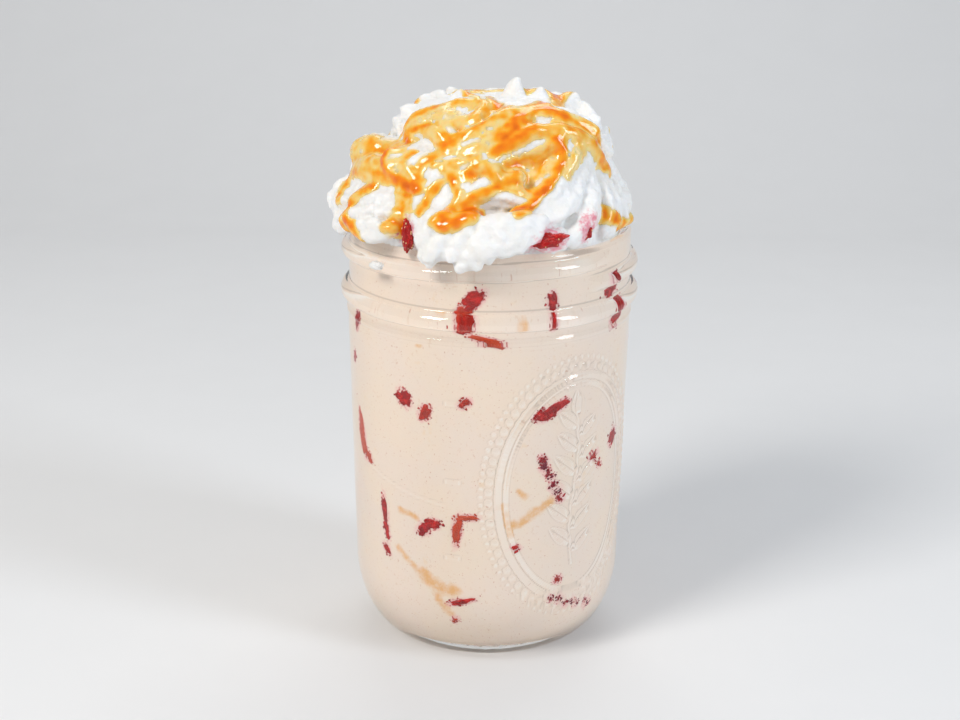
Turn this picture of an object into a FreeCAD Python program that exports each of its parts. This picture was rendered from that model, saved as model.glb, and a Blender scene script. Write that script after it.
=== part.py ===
import FreeCAD, Part

import math
import os

from FreeCAD import Matrix, Rotation, Vector

# A strawberry smoothie in a wide-mouth preserving jar, topped with whipped cream and pieces of
# strawberry. Millimetres, +Z up. The origin is the centre of the jar's foot, on the surface it
# stands on, and +Z is the jar's axis. The front of the jar faces -Y.

# Jar: heights
jar_height = 122.6
neck_height = 15.8          # from the top of the jar down to the bead
bead_width = 4.7            # top to bottom
seam_drop = 3.5             # from the underside of the bead down to the middle of the mould seam
seam_width = 1.6
heel_height = 23.4          # the rounded bottom corner, up from the foot

# Jar: radii and thicknesses
body_top_radius = 40.8
body_taper = 1.6            # how much narrower the wall is at the heel than under the bead
heel_width = 13.8           # how far the rounded corner runs in to the foot
neck_step = 0.5             # the neck is this much narrower than the top of the body
bead_projection = 2.2
seam_projection = 0.35
wall = 3.0
lip_edge_radius = 1.2
floor_thickness = 6.2
foot_ring_width = 6.5
push_up = 2.0               # how far the underside is hollowed inside the foot ring

# Jar: screw thread on the neck
thread_pitch = 6.35
thread_projection = 2.2
thread_width = 4.3
thread_start_drop = 10.5    # from the top of the jar down to the middle of the thread's lower end
thread_start_angle = -52.0
thread_turn = 380.0
thread_fade = 22.0          # degrees over which each end runs out into the neck
thread_root_depth = 0.8     # how far the thread's foot lies inside the glass
thread_end_rise = 0.3       # how far the back still stands off the thread's foot at each end
thread_steps = 48
thread_section_steps = 8

# Smoothie
fill_drop = 4.6             # from the top of the jar down to the drink

# Whipped cream: each level is (height above the jar's mouth, reach outside the neck)
cream_levels = (
    (-1.4, 1.2), (0.6, 2.0), (4.5, 1.5), (9.0, -1.0), (14.0, -4.6), (19.0, -6.6),
    (24.0, -8.8), (29.0, -12.5), (33.0, -16.0), (36.0, -22.0), (38.2, -28.5), (39.6, -34.5),
)
cream_lean_low = Vector(-2.2, 0.0, 0.0)
cream_lean_high = Vector(5.5, 0.0, 0.0)
fold_count = 7
fold_depth = 2.4
fold_twist = 150.0          # degrees that the folds turn from the mouth to the peak
outline_points = 56

# The lobes of cream that hang down over the front of the lip: (angle, drop below the mouth of
# the lobe's centre, half width, half height, half depth)
front_lobes = (
    (-112.0, -1.0, 7.5, 5.0, 3.6),
    (-97.0, -0.2, 8.5, 5.6, 4.2),
    (-82.0, -4.0, 6.0, 4.0, 3.4),
)
lobe_stand_off = 1.0        # how far outside the neck the lobes are centred

# Pieces of strawberry lodged in the cream at the rim: (name, angle, height above the mouth of
# the piece's middle, length, width, thickness, turn in its own plane)
berry_pieces = (
    ("left", -123.4, 4.4, 9.0, 4.0, 4.5, 82.0),
    ("front", -69.0, 4.0, 11.0, 5.0, 5.5, -8.0),
    ("right", -47.0, 4.8, 8.0, 6.5, 5.0, 60.0),
)
berry_stand_off = 1.2       # how far outside the neck the middle of each piece lies

seam_angle = 200.0          # where the revolved surfaces close, behind the jar

# Derived
neck_radius = body_top_radius - neck_step
body_bottom_radius = body_top_radius - body_taper
foot_radius = body_bottom_radius - heel_width
bead_top = jar_height - neck_height
bead_bottom = bead_top - bead_width
seam_middle = bead_bottom - seam_drop
drink_level = jar_height - fill_drop
mouth_radius = neck_radius - wall


def point(radius, height):
    """A point of a revolved outline, in the plane where Y is zero."""
    return Vector(radius, 0, height)


def line(a, b):
    return Part.LineSegment(a, b).toShape()


def arc(a, middle, b):
    return Part.Arc(a, middle, b).toShape()


def corner(centre, low, side):
    """A quarter of an ellipse from its lowest point to its outermost one."""
    tall = centre.z - low.z >= side.x - centre.x
    if tall:
        ellipse = Part.Ellipse(low, side, centre)
        return Part.ArcOfEllipse(ellipse, 0, math.pi / 2).toShape()
    ellipse = Part.Ellipse(side, low, centre)
    return Part.ArcOfEllipse(ellipse, -math.pi / 2, 0).toShape()


def revolved(edges):
    """The solid that an outline sweeps round the axis. Its seam lies clear of the thread's ends."""
    face = Part.Face(Part.Wire(Part.sortEdges(edges)[0]))
    face.rotate(Vector(0, 0, 0), Vector(0, 0, 1), seam_angle)
    return face.revolve(Vector(0, 0, 0), Vector(0, 0, 1), 360)


def wall_radius(height):
    """The outside of the tapered wall between the heel and the bead."""
    share = (height - heel_height) / (bead_bottom - heel_height)
    return body_bottom_radius + body_taper * share


def inner_outline():
    """The inside of the jar from the middle of its floor up to the mouth, and the points it passes."""
    corner_radius = body_bottom_radius - wall
    middle = point(0, floor_thickness)
    floor_edge = point(foot_radius, floor_thickness)
    corner_top = point(corner_radius, heel_height)
    shoulder = point(body_top_radius - wall, bead_bottom)
    neck_bottom = point(mouth_radius, bead_top)
    lip_inside = point(mouth_radius, jar_height - lip_edge_radius)
    edges = [
        line(middle, floor_edge),
        corner(point(foot_radius, heel_height), floor_edge, corner_top),
        line(corner_top, shoulder),
        line(shoulder, neck_bottom),
        line(neck_bottom, lip_inside),
    ]
    return edges, middle, lip_inside


def outer_outline():
    """The outside of the jar from the foot ring up to the lip."""
    foot_edge = point(foot_radius, 0)
    heel_top = point(body_bottom_radius, heel_height)
    seam_low = point(wall_radius(seam_middle - seam_width / 2), seam_middle - seam_width / 2)
    seam_peak = point(wall_radius(seam_middle) + seam_projection, seam_middle)
    seam_high = point(wall_radius(seam_middle + seam_width / 2), seam_middle + seam_width / 2)
    bead_low = point(body_top_radius, bead_bottom)
    bead_crest = point(body_top_radius + bead_projection, (bead_bottom + bead_top) / 2)
    bead_high = point(neck_radius, bead_top)
    lip_outer = point(neck_radius, jar_height - lip_edge_radius)
    slant = lip_edge_radius * (1 - math.sqrt(0.5))
    lip_round = point(neck_radius - slant, jar_height - slant)
    lip_top = point(neck_radius - lip_edge_radius, jar_height)
    edges = [
        corner(point(foot_radius, heel_height), foot_edge, heel_top),
        line(heel_top, seam_low),
        arc(seam_low, seam_peak, seam_high),
        line(seam_high, bead_low),
        arc(bead_low, bead_crest, bead_high),
        line(bead_high, lip_outer),
        arc(lip_outer, lip_round, lip_top),
    ]
    return edges, foot_edge, lip_top


def thread_section(turned):
    """Points across the thread's round back at this many degrees from its lower end. The crest
    sinks below the neck's surface at both ends, so that the thread runs out smoothly."""
    share = min(turned, thread_turn - turned) / thread_fade
    share = min(max(share, 0.0), 1.0)
    rise = share * share * (3 - 2 * share)
    root = neck_radius - thread_root_depth
    height = thread_end_rise + rise * (thread_root_depth + thread_projection - thread_end_rise)
    middle = jar_height - thread_start_drop + thread_pitch * turned / 360
    turn = math.radians(thread_start_angle + turned)
    points = []
    for i in range(thread_section_steps + 1):
        across = -math.cos(math.pi * i / thread_section_steps)
        radius = root + height * math.sqrt(1 - across * across)
        level = middle + across * thread_width / 2
        points.append(Vector(radius * math.cos(turn), radius * math.sin(turn), level))
    return points


def make_thread():
    turns = [thread_turn * i / thread_steps for i in range(thread_steps + 1)]
    back = Part.BSplineSurface()
    back.interpolate([thread_section(turned) for turned in turns])
    along_low, along_high = back.vIso(0).toShape(), back.vIso(1).toShape()
    root = Part.makeRuledSurface(along_low, along_high)
    ends = []
    for u in (0, 1):
        across = back.uIso(u).toShape()
        closing = line(across.Vertexes[-1].Point, across.Vertexes[0].Point)
        ends.append(Part.Face(Part.Wire([across, closing])))
    shell = Part.Shell(Part.Compound([back.toShape(), root] + ends).Faces)
    shell.sewShape()
    solid = Part.Solid(shell)
    if solid.Volume < 0:
        solid.reverse()
    return solid


def make_jar():
    outside, foot_edge, lip_top = outer_outline()
    inside, floor_middle, lip_inside = inner_outline()
    lip_inner_top = point(mouth_radius + lip_edge_radius, jar_height)
    slant = lip_edge_radius * (1 - math.sqrt(0.5))
    lip_inner_round = point(mouth_radius + slant, jar_height - slant)
    ring_inner = point(foot_radius - foot_ring_width, 0)
    hollow_middle = point(0, push_up)
    sphere_radius = (ring_inner.x ** 2 + push_up ** 2) / (2 * push_up)
    half_way = ring_inner.x / 2
    hollow_half = push_up - sphere_radius + math.sqrt(sphere_radius ** 2 - half_way ** 2)
    rim = [
        line(lip_top, lip_inner_top),
        arc(lip_inner_top, lip_inner_round, lip_inside),
    ]
    underside = [
        line(foot_edge, ring_inner),
        arc(ring_inner, point(half_way, hollow_half), hollow_middle),
        line(hollow_middle, floor_middle),
    ]
    return revolved(outside + rim + inside + underside).fuse(make_thread()).removeSplitter()


def cavity_up_to(level):
    """What fills the jar from its floor to a level inside the neck."""
    inside, floor_middle, lip_inside = inner_outline()
    top_middle = point(0, lip_inside.z)
    whole = revolved(inside + [line(lip_inside, top_middle), line(top_middle, floor_middle)])
    reach = body_top_radius * 3
    keep = Part.makeBox(reach, reach, level, Vector(-reach / 2, -reach / 2, 0))
    return whole.common(keep)


def cream_outline(height, reach):
    """One level of the mound: a closed curve whose waves are the folds, turning as they rise."""
    top_height = cream_levels[-1][0]
    share = max(height, 0.0) / top_height
    radius = neck_radius + reach
    centre = cream_lean_low * (1 - share) + cream_lean_high * share
    depth = fold_depth * min(1.0, radius / neck_radius) * min(1.0, 0.25 + 2 * share)
    points = []
    for i in range(outline_points):
        angle = 2 * math.pi * i / outline_points
        wave = math.sin(fold_count * angle + math.radians(fold_twist * share * fold_count / 3))
        ripple = 0.35 * math.sin((2 * fold_count + 1) * angle - 5 * share)
        r = radius + depth * (wave + ripple)
        points.append(centre + Vector(r * math.cos(angle), r * math.sin(angle), jar_height + height))
    curve = Part.BSplineCurve()
    curve.interpolate(points, PeriodicFlag=True)
    return Part.Wire(curve.toShape())


def front_lobe(angle, drop, half_width, half_height, half_depth):
    """One rounded lobe of cream that hangs over the lip."""
    turn = math.radians(angle)
    away = neck_radius + lobe_stand_off
    place = Vector(away * math.cos(turn), away * math.sin(turn), jar_height - drop)
    stretch = Matrix()
    stretch.scale(half_depth, half_width, half_height)
    lobe = Part.makeSphere(1).transformGeometry(stretch)
    lobe.rotate(Vector(0, 0, 0), Vector(0, 0, 1), angle)
    lobe.translate(place)
    return lobe


def strawberry_piece(angle, height, length, width, thickness, turn):
    """A diced piece of berry: the rounded skin faces out and the other sides are cut flat."""
    stretch = Matrix()
    stretch.scale(thickness / 2, length / 2 * 1.15, width / 2 * 1.25)
    skin = Part.makeSphere(1).transformGeometry(stretch)
    dice = Part.makeBox(thickness, length, width, Vector(-thickness * 0.28, -length / 2, -width / 2))
    piece = skin.common(dice)
    spin = math.radians(angle)
    away = neck_radius + berry_stand_off - thickness * 0.2
    place = Vector(away * math.cos(spin), away * math.sin(spin), jar_height + height)
    piece.rotate(Vector(0, 0, 0), Vector(1, 0, 0), turn)
    piece.rotate(Vector(0, 0, 0), Vector(0, 0, 1), angle)
    piece.translate(place)
    return piece


def make_cream(jar, drink, pieces):
    mound = Part.makeLoft([cream_outline(h, r) for h, r in cream_levels], True, False)
    plug = cavity_up_to(jar_height - lip_edge_radius)
    cap_height = lip_edge_radius + cream_levels[1][0]
    cap = Part.makeCylinder(mouth_radius, cap_height, Vector(0, 0, jar_height - lip_edge_radius))
    cream = mound.fuse([plug, cap] + [front_lobe(*lobe) for lobe in front_lobes])
    return cream.cut([jar, drink] + pieces)


def largest_solid(shape):
    return max(shape.Solids, key=lambda solid: solid.Volume)


def export(name, shape):
    shape.exportStep("parts/" + name + ".step")
    box = shape.BoundBox
    print(name, len(shape.Solids), "solid", shape.isValid(), round(shape.Volume / 1000, 2), "cm3",
          [round(v, 2) for v in (box.XMin, box.YMin, box.ZMin, box.XMax, box.YMax, box.ZMax)])


os.makedirs("parts", exist_ok=True)
jar = make_jar()
drink = cavity_up_to(drink_level)
pieces = {name: strawberry_piece(*sizes) for name, *sizes in berry_pieces}
pieces = {name: largest_solid(piece.cut(jar)) for name, piece in pieces.items()}
cream = largest_solid(make_cream(jar, drink, list(pieces.values())))
export("jar", jar)
export("smoothie", drink)
export("whipped_cream", cream)
for name, piece in pieces.items():
    export("strawberry_piece_" + name, piece)
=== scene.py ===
import math

import bmesh
import bpy
import numpy as np
import openvdb
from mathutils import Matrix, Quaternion, Vector


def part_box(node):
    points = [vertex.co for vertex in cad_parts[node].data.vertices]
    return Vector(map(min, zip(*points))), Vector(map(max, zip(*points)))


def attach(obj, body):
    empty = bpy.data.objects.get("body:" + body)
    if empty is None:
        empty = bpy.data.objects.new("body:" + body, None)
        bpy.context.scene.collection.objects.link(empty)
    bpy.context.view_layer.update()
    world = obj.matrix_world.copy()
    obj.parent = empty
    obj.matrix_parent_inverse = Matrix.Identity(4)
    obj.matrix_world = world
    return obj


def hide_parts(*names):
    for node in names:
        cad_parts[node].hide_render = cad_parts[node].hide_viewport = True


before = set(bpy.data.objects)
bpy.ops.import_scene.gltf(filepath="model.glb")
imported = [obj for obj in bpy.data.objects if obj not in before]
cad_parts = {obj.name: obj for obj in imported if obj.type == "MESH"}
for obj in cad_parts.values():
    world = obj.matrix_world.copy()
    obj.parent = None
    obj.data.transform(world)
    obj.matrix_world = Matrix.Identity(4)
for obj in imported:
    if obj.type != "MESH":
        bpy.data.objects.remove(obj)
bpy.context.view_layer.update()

# Sizes are in millimetres and angles in degrees round the jar's axis from +X, so -90 is the front.
# Heights on the cream are above the jar's mouth. Meshes are scaled to metres as they are made.
MM = 0.001
rng = np.random.default_rng(7)


def node_box(name):
    low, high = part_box(name)
    return np.array(low) / MM, np.array(high) / MM


jar_high = node_box("jar")[1]
drink_low, drink_high = node_box("smoothie")

# The jar's outline, as it was built
JAR_HEIGHT = jar_high[2]
BODY_TOP_RADIUS = 40.8
BODY_BOTTOM_RADIUS = 39.2
NECK_RADIUS = 40.3
HEEL_HEIGHT = 23.4
FOOT_RADIUS = 25.4
FOOT_RING_WIDTH = 6.5
PUSH_UP = 2.0
WALL = 3.0
FLOOR = drink_low[2]
BEAD_TOP = JAR_HEIGHT - 15.8
BEAD_WIDTH = 4.7
BEAD_BOTTOM = BEAD_TOP - BEAD_WIDTH
BEAD_PROJECTION = 2.2
SEAM_MIDDLE = BEAD_BOTTOM - 3.5
LIP_EDGE = 1.2
MOUTH_RADIUS = NECK_RADIUS - WALL
DRINK_LEVEL = drink_high[2]
FILM_TOP = JAR_HEIGHT - 0.9
FILM_RADIUS = MOUTH_RADIUS - 0.5

THREAD_PITCH = 6.35
THREAD_PROJECTION = 2.2
THREAD_WIDTH = 4.3
THREAD_START_ANGLE = -52.0
THREAD_START_HEIGHT = JAR_HEIGHT - 10.5
THREAD_TURN = 380.0
THREAD_FADE = 22.0

SEAM_HALF_WIDTH = 0.8
SEAM_PROJECTION = 0.35
ARC_RADIUS = 38.0           # turns an angle on the drink into a distance round it


# ---- small helpers

def smoothstep(low, high, x):
    share = np.clip((x - low) / (high - low), 0.0, 1.0)
    return share * share * (3 - 2 * share)


def bump(distance, half_width):
    """A rounded ridge: one at the middle, nothing from half_width on."""
    share = np.clip(1 - (distance / half_width) ** 2, 0.0, 1.0)
    return share ** 0.75


def unit(way):
    return way / max(np.linalg.norm(way), 1e-6)


def turned(across, up, degrees):
    """An offset turned anticlockwise."""
    turn = math.radians(degrees)
    return across * math.cos(turn) - up * math.sin(turn), across * math.sin(turn) + up * math.cos(turn)


def around(angle, height, radius):
    """The points at these angles round the jar's axis, this high and this far out."""
    turn = np.radians(angle)
    return np.stack(np.broadcast_arrays(radius * np.cos(turn), radius * np.sin(turn), height), axis=-1)


def round_gap(angles, angle):
    """How far round the drink these angles are from one, in millimetres."""
    return np.radians((angles - angle + 180) % 360 - 180) * ARC_RADIUS


def make_object(name, verts, faces, material):
    mesh = bpy.data.meshes.new(name)
    mesh.from_pydata((np.asarray(verts) * MM).tolist(), [], faces)
    mesh.update()
    mesh.shade_smooth()
    mesh.materials.append(material)
    made = bpy.data.objects.new(name, mesh)
    bpy.context.scene.collection.objects.link(made)
    return made


def make_piece(name, verts, faces, material):
    piece = make_object(name, verts, faces, material)
    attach(piece, "root")
    return piece


def add_values(piece, name, values):
    """Stores one number for each vertex, which the material reads."""
    layer = piece.data.attributes.new(name, "FLOAT", "POINT")
    layer.data.foreach_set("value", np.asarray(values, dtype=np.float32))


def grid_faces(rows, columns, first=0):
    """Quads over rings of vertices stored one after the other, counted from the first."""
    faces = []
    for low in range(first, first + (rows - 1) * columns, columns):
        for j in range(columns):
            k = (j + 1) % columns
            faces.append((low + j, low + k, low + columns + k, low + columns + j))
    return faces


# ---- materials

class Nodes:
    """A material's node tree, with short calls for the nodes used here."""

    def __init__(self, name):
        self.material = bpy.data.materials.new(name)
        self.material.use_nodes = True
        self.tree = self.material.node_tree
        self.tree.nodes.clear()
        self.out = self.add("ShaderNodeOutputMaterial")

    def add(self, kind, **settings):
        node = self.tree.nodes.new(kind)
        for key, value in settings.items():
            setattr(node, key, value)
        return node

    def link(self, source, target):
        self.tree.links.new(source, target)

    def put(self, value, target):
        """Sets an input to a plain value, or links it to an output."""
        if isinstance(value, bpy.types.NodeSocket):
            self.link(value, target)
        elif isinstance(value, tuple) and len(value) == 3 and len(target.default_value) == 4:
            target.default_value = (*value, 1.0)
        else:
            target.default_value = value

    def fill(self, node, **values):
        """Sets or links a node's inputs, whose names have _ for a space here."""
        for key, value in values.items():
            self.put(value, node.inputs[key.replace("_", " ")])
        return node

    def position(self):
        return self.add("ShaderNodeTexCoord").outputs["Object"]

    def attribute(self, name):
        return self.add("ShaderNodeAttribute", attribute_name=name).outputs["Fac"]

    def noise(self, size_mm, detail=3.0, roughness=0.5, stretch=(1, 1, 1), distortion=0.0):
        mapping = self.fill(self.add("ShaderNodeMapping"), Vector=self.position(), Scale=stretch)
        node = self.fill(self.add("ShaderNodeTexNoise"), Vector=mapping.outputs["Vector"],
                         Scale=1 / (size_mm * MM), Detail=detail, Roughness=roughness,
                         Distortion=distortion)
        return node.outputs["Fac"]

    def maths(self, operation, a, b):
        node = self.add("ShaderNodeMath", operation=operation)
        self.put(a, node.inputs[0])
        self.put(b, node.inputs[1])
        return node.outputs["Value"]

    def ragged(self, value, noise, amount):
        """A value made uneven by a noise of this reach."""
        around_zero = self.maths("SUBTRACT", noise, 0.5)
        return self.maths("ADD", value, self.maths("MULTIPLY", around_zero, amount))

    def spread(self, value, low, high, to_low=0.0, to_high=1.0):
        node = self.add("ShaderNodeMapRange", interpolation_type="SMOOTHSTEP")
        self.fill(node, Value=value, From_Min=low, From_Max=high, To_Min=to_low, To_Max=to_high)
        return node.outputs["Result"]

    def mix(self, share, a, b):
        node = self.add("ShaderNodeMix", data_type="RGBA")
        self.put(share, node.inputs["Factor"])
        self.put(a, node.inputs[6])
        self.put(b, node.inputs[7])
        return node.outputs[2]

    def tint(self, base, value, low, high, share, colour):
        """The base, turned to a colour up to this share as a value goes from low to high."""
        return self.mix(self.spread(value, low, high, 0.0, share), base, colour)

    def ramp(self, value, stops):
        node = self.add("ShaderNodeValToRGB")
        self.put(value, node.inputs["Fac"])
        elements = node.color_ramp.elements
        while len(elements) < len(stops):
            elements.new(0.5)
        for element, (place, colour) in zip(elements, stops):
            element.position = place
            element.color = (*colour, 1.0)
        return node.outputs["Color"]

    def bump(self, height, depth_mm, under=None):
        node = self.fill(self.add("ShaderNodeBump"), Height=height, Distance=depth_mm * MM)
        if under is not None:
            self.link(under, node.inputs["Normal"])
        return node.outputs["Normal"]

    def principled(self, **values):
        """The output of a Principled shader with these inputs."""
        return self.fill(self.add("ShaderNodeBsdfPrincipled"), **values).outputs[0]

    def finish(self, shader):
        self.link(shader, self.out.inputs["Surface"])
        return self.material


def glass_material():
    """Clear pressed glass. Light from the lamps and from matt things goes straight through it, less
    of it where the glass is seen edge on."""
    n = Nodes("jar_glass")
    ripple = n.noise(9.0, detail=2.0)
    grain = n.noise(1.6, detail=2.0)
    normal = n.bump(grain, 0.012, under=n.bump(ripple, 0.12))
    glass = n.principled(
        Base_Color=(0.99, 0.984, 0.968),
        Roughness=0.02,
        IOR=1.5,
        Transmission_Weight=1.0,
        Normal=normal,
    )
    steep = n.add("ShaderNodeLayerWeight").outputs["Facing"]
    clear = n.add("ShaderNodeBsdfTransparent")
    n.link(n.mix(n.spread(steep, 0.45, 1.0), (1.0, 1.0, 1.0), (0.60, 0.58, 0.55)), clear.inputs["Color"])
    path = n.add("ShaderNodeLightPath")
    straight = n.maths("MAXIMUM", path.outputs["Is Shadow Ray"], path.outputs["Is Diffuse Ray"])
    mix = n.add("ShaderNodeMixShader")
    n.link(straight, mix.inputs[0])
    n.link(glass, mix.inputs[1])
    n.link(clear.outputs[0], mix.inputs[2])
    return n.finish(mix.outputs[0])


def smoothie_material():
    """Pale pinkish beige drink with fine specks, pink round the berry bits and caramel streaks.
    Painted light: pale lines where the glass's relief would gather the light on it, with painted shade in
    darker lines beside them."""
    n = Nodes("smoothie")
    cloud = n.noise(16.0, detail=3.0)
    base = n.mix(n.spread(cloud, 0.35, 0.65), (0.885, 0.735, 0.60), (0.87, 0.73, 0.62))
    fine = n.noise(0.9, detail=2.0)
    base = n.tint(base, fine, 0.62, 0.74, 0.30, (0.70, 0.46, 0.28))
    grit = n.noise(0.55, detail=1.0)
    base = n.tint(base, grit, 0.70, 0.76, 0.6, (0.58, 0.27, 0.15))
    tan = n.noise(6.0, detail=3.0, roughness=0.6)
    base = n.tint(base, tan, 0.66, 0.76, 0.35, (0.86, 0.62, 0.36))
    torn = n.noise(2.6, detail=4.0, roughness=0.65)
    streak = n.ragged(n.attribute("caramel"), torn, 1.5)
    base = n.tint(base, streak, 0.30, 1.35, 0.9, (0.80, 0.40, 0.10))
    speckle = n.noise(0.7, detail=2.0, roughness=0.6)
    fringe = n.ragged(n.attribute("pink"), torn, 1.6)
    base = n.tint(base, fringe, 0.30, 1.15, 0.62, (0.86, 0.42, 0.42))
    dots = n.ragged(n.attribute("pink"), speckle, 3.2)
    base = n.tint(base, dots, 0.95, 1.15, 0.85, (0.50, 0.025, 0.035))
    # Painted highlight and painted shade: paler where the relief in front would gather light on the
    # drink, darker where it would spread it
    painted_light = n.attribute("painted_caustics")
    base = n.tint(base, painted_light, 0.0, 1.0, 0.75, (0.97, 0.93, 0.88))
    base = n.tint(base, painted_light, 0.0, -1.0, 0.75, (0.50, 0.39, 0.31))
    normal = n.bump(fine, 0.05)
    return n.finish(n.principled(
        Base_Color=base,
        Roughness=0.42,
        Normal=normal,
        Subsurface_Weight=0.2,
        Subsurface_Radius=(1.0, 0.6, 0.45),
        Subsurface_Scale=0.0008,
    ))


def cream_material():
    """White whipped cream, soft inside, stained by the sauce and the berries beside it."""
    n = Nodes("whipped_cream")
    cloud = n.noise(7.0, detail=3.0)
    base = n.mix(n.spread(cloud, 0.35, 0.7), (0.90, 0.895, 0.885), (0.90, 0.885, 0.85))
    wisp = n.noise(2.4, detail=4.0, roughness=0.6)
    stain = n.ragged(n.attribute("sauce_near"), wisp, 0.7)
    base = n.tint(base, stain, 0.25, 1.05, 0.9, (0.94, 0.66, 0.25))
    blot = n.noise(1.3, detail=3.0, roughness=0.65)
    juice = n.ragged(n.attribute("berry_near"), blot, 1.6)
    base = n.tint(base, juice, 0.50, 1.25, 0.85, (0.80, 0.16, 0.24))
    grain = n.noise(0.8, detail=3.0, roughness=0.6)
    normal = n.bump(grain, 0.12, under=n.bump(wisp, 0.4))
    return n.finish(n.principled(
        Base_Color=base,
        Roughness=n.spread(grain, 0.3, 0.7, 0.36, 0.5),
        Normal=normal,
        Subsurface_Weight=0.5,
        Subsurface_Radius=(1.0, 0.9, 0.8),
        Subsurface_Scale=0.0018,
    ))


def caramel_material():
    """Glossy sauce: pale amber where it is thin, deep orange where it is thick."""
    n = Nodes("caramel_sauce")
    swirl = n.noise(3.5, detail=2.0, distortion=0.6)
    depth = n.ragged(n.attribute("depth"), swirl, 0.35)
    base = n.ramp(n.spread(depth, 0.0, 1.55), (
        (0.0, (0.94, 0.68, 0.28)),
        (0.16, (0.94, 0.55, 0.11)),
        (0.36, (0.95, 0.38, 0.012)),
        (0.62, (0.93, 0.24, 0.002)),
        (1.0, (0.72, 0.12, 0.001)),
    ))
    bubbles = n.noise(1.1, detail=1.0)
    normal = n.bump(swirl, 0.12, under=n.bump(bubbles, 0.02))
    return n.finish(n.principled(
        Base_Color=base,
        Roughness=n.spread(bubbles, 0.3, 0.7, 0.07, 0.14),
        IOR=1.47,
        Normal=normal,
        Subsurface_Weight=0.3,
        Subsurface_Radius=(1.0, 0.45, 0.08),
        Subsurface_Scale=0.0012,
        Coat_Weight=0.3,
        Coat_Roughness=0.05,
    ))


def berry_material(name, skin_colour, flesh_colour, shine):
    """Wet strawberry: deep red, mottled towards its paler flesh."""
    n = Nodes(name)
    mottle = n.noise(1.5, detail=4.0, roughness=0.6)
    fibre = n.noise(0.7, detail=2.0, stretch=(1, 1, 0.35))
    base = n.mix(n.spread(mottle, 0.42, 0.68), skin_colour, flesh_colour)
    base = n.tint(base, fibre, 0.64, 0.80, 0.5, (0.80, 0.14, 0.08))
    tone = n.attribute("tone")
    base = n.tint(base, tone, 0.2, 1.0, 0.75, (0.62, 0.085, 0.028))
    base = n.tint(base, tone, 0.0, -1.0, 0.85, (0.13, 0.003, 0.022))
    normal = n.bump(fibre, 0.12, under=n.bump(mottle, 0.25))
    return n.finish(n.principled(
        Base_Color=base,
        Roughness=n.spread(mottle, 0.3, 0.7, 0.16, 0.3),
        Normal=normal,
        Specular_IOR_Level=shine,
        Subsurface_Weight=0.1,
        Subsurface_Radius=(1.0, 0.2, 0.15),
        Subsurface_Scale=0.0006,
    ))


def seed_material():
    n = Nodes("strawberry_seed")
    grain = n.noise(0.4, detail=2.0)
    base = n.mix(grain, (0.85, 0.55, 0.22), (0.93, 0.74, 0.42))
    return n.finish(n.principled(Base_Color=base, Roughness=0.35, Normal=n.bump(grain, 0.02)))


# ---- jar

def wall_radius(height):
    """The outside of the jar between its foot and the bead."""
    share = (height - HEEL_HEIGHT) / (BEAD_BOTTOM - HEEL_HEIGHT)
    straight = BODY_BOTTOM_RADIUS + (BODY_TOP_RADIUS - BODY_BOTTOM_RADIUS) * share
    drop = np.clip((HEEL_HEIGHT - height) / HEEL_HEIGHT, 0.0, 1.0)
    heel = FOOT_RADIUS + (BODY_BOTTOM_RADIUS - FOOT_RADIUS) * np.sqrt(1 - drop ** 2)
    return np.where(height < HEEL_HEIGHT, heel, straight)


def inside_radius(height):
    """The inside of the jar from its floor to its mouth."""
    corner = BODY_BOTTOM_RADIUS - WALL
    drop = np.clip((HEEL_HEIGHT - height) / (HEEL_HEIGHT - FLOOR), 0.0, 1.0)
    heel = FOOT_RADIUS + (corner - FOOT_RADIUS) * np.sqrt(1 - drop ** 2)
    knots = (HEEL_HEIGHT, BEAD_BOTTOM, BEAD_TOP)
    radii = (corner, BODY_TOP_RADIUS - WALL, MOUTH_RADIUS)
    return np.where(height < HEEL_HEIGHT, heel, np.interp(height, knots, radii))


def thread_rise(angle, height):
    """How far the screw thread stands off the neck at an angle and a height."""
    rise = np.zeros(np.broadcast(angle, height).shape)
    for turn in (-1, 0, 1, 2):
        wound = angle - THREAD_START_ANGLE + 360 * turn
        middle = THREAD_START_HEIGHT + THREAD_PITCH * wound / 360
        fade = smoothstep(0, THREAD_FADE, np.minimum(wound, THREAD_TURN - wound))
        across = (height - middle) / (THREAD_WIDTH / 2)
        back = np.sqrt(np.clip(1 - across ** 2, 0.0, 1.0))
        rise = np.maximum(rise, THREAD_PROJECTION * fade * back)
    return rise


OVAL_ANGLE = -51.0
OVAL_HEIGHT = 53.5
OVAL_HALF_WIDTH = 25.0
OVAL_HALF_HEIGHT = 33.5
LEAF_HEIGHTS = (-20.0, -13.0, -6.0, 1.0, 8.0, 15.0)


def oval_distance(across, up):
    """About how far a point lies outside the oval's outline, in millimetres."""
    reach = np.sqrt((across / OVAL_HALF_WIDTH) ** 2 + (up / OVAL_HALF_HEIGHT) ** 2)
    slope = np.sqrt((across / OVAL_HALF_WIDTH ** 2) ** 2 + (up / OVAL_HALF_HEIGHT ** 2) ** 2)
    return (reach - 1) * reach / np.maximum(slope, 1e-3)


def leaf(across, up, length, half_width, lean):
    """A raised leaf with a sunk midrib, growing from its stalk end at the origin."""
    along, aside = turned(across, up, -lean)
    share = np.clip(along / length, 0.0, 1.0)
    edge = half_width * np.sin(np.pi * share ** 0.8)
    inside = (along > 0) & (along < length)
    body = np.where(inside, smoothstep(0.0, 0.8, edge - np.abs(aside)), 0.0)
    rib = np.where(inside, bump(aside, 0.45), 0.0)
    return body * 0.42 - rib * body * 0.25


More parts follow.
